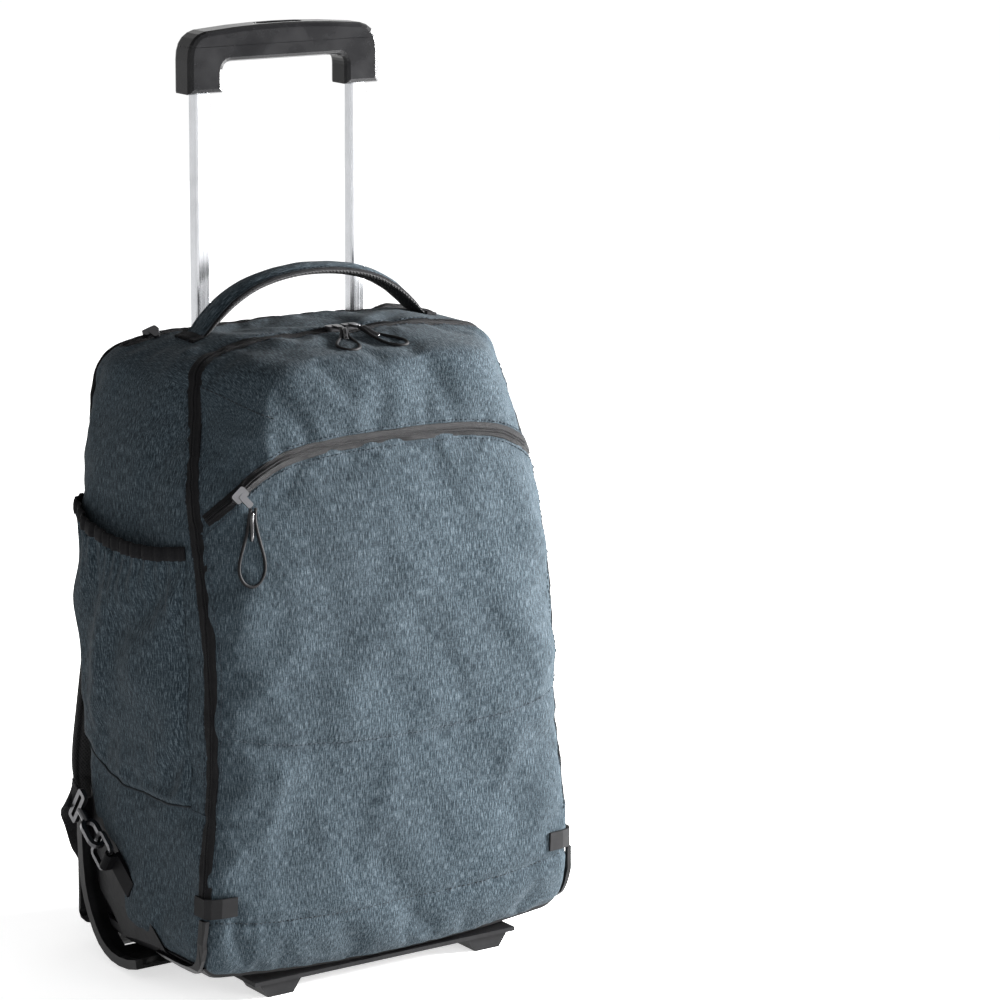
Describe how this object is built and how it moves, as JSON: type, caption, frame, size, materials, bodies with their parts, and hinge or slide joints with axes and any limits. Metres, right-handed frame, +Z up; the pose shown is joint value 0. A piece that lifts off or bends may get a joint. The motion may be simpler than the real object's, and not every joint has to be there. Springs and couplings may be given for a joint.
{
  "type": "wheeled backpack",
  "caption": "Upright cloth backpack on two wheels with a drawn-out telescopic pull handle, front pocket, side pockets and padded shoulder straps.",
  "frame": {"origin": "middle of the whole piece's bounding box, on the floor", "axes": "+X to the right seen from the front, +Y to the back where the straps hang, +Z up"},
  "size_m": [0.4412, 0.2942, 0.77],
  "materials": {
    "cloth": "blue-grey melange weave",
    "coated_cloth": "black coated cloth",
    "zip": "black coil chain and tape",
    "webbing": "black ribbed webbing",
    "plastic": "black, lightly textured",
    "gloss_plastic": "black gloss",
    "rubber": "black rubber",
    "tyre": "black tread",
    "dark_metal": "gunmetal",
    "steel": "brushed",
    "aluminium": "satin anodised"
  },
  "bodies": {
    "bag": {"gusset": "cloth", "back_panel": "cloth", "lid_panel": "cloth", "pocket_panel": "cloth", "side_pocket_left": "cloth", "side_pocket_right": "cloth", "carry_handle": "cloth", "shoulder_strap_left": "cloth", "shoulder_strap_right": "cloth", "lower_back_panel": "coated_cloth", "side_band_left": "coated_cloth", "side_band_right": "coated_cloth", "strap_band": "coated_cloth", "pocket_zip": "zip", "main_zip": "zip", "back_zip": "zip", "pocket_binding_left": "zip", "pocket_binding_right": "zip", "carry_handle_underside": "zip", "strap_webbing_left": "webbing", "strap_webbing_right": "webbing", "d_ring_tab_left": "webbing", "d_ring_tab_right": "webbing", "base_board": "plastic", "corner_rim_left": "plastic", "corner_rim_right": "plastic", "ladder_lock_left": "plastic", "ladder_lock_right": "plastic", "wheel_housing_left": "plastic", "wheel_housing_right": "plastic", "front_skid": "plastic", "base_grip": "plastic", "tube_brace": "plastic", "zip_end_tab_left": "rubber", "zip_end_tab_right": "rubber", "main_pull_left": "rubber", "main_pull_right": "rubber", "pocket_pull": "rubber", "d_ring_left": "dark_metal", "d_ring_right": "dark_metal", "snap_hook_left": "dark_metal", "snap_hook_right": "dark_metal", "main_slider_left": "dark_metal", "main_slider_right": "dark_metal", "pocket_slider": "dark_metal", "back_slider": "dark_metal", "wheel_axle_left": "steel", "wheel_axle_right": "steel", "outer_tube_left": "aluminium", "outer_tube_right": "aluminium"},
    "handle": {"inner_tube_left": "aluminium", "inner_tube_right": "aluminium", "grip_body": "plastic", "grip_cap": "plastic"},
    "button": {"push_button": "gloss_plastic"},
    "wheel_left": {"wheel_hub_left": "gloss_plastic", "wheel_tyre_left": "tyre"},
    "wheel_right": {"wheel_hub_right": "gloss_plastic", "wheel_tyre_right": "tyre"}
  },
  "joints": [
    {"name": "handle_slide", "type": "slide", "parent": "bag", "child": "handle", "axis": [0, 0, 1], "range_m": [-0.25, 0.095]},
    {"name": "button_press", "type": "slide", "parent": "handle", "child": "button", "axis": [0, 0, 1], "range_m": [-0.003, 0], "stiffness_N_per_m": 800, "springref_m": 0.002},
    {"name": "wheel_left_spin", "type": "hinge", "parent": "bag", "child": "wheel_left", "pos_m": [-0.17017, 0.06727, 0.033], "axis": [1, 0, 0], "continuous": true},
    {"name": "wheel_right_spin", "type": "hinge", "parent": "bag", "child": "wheel_right", "pos_m": [0.12383, 0.06727, 0.033], "axis": [1, 0, 0], "continuous": true}
  ]
}
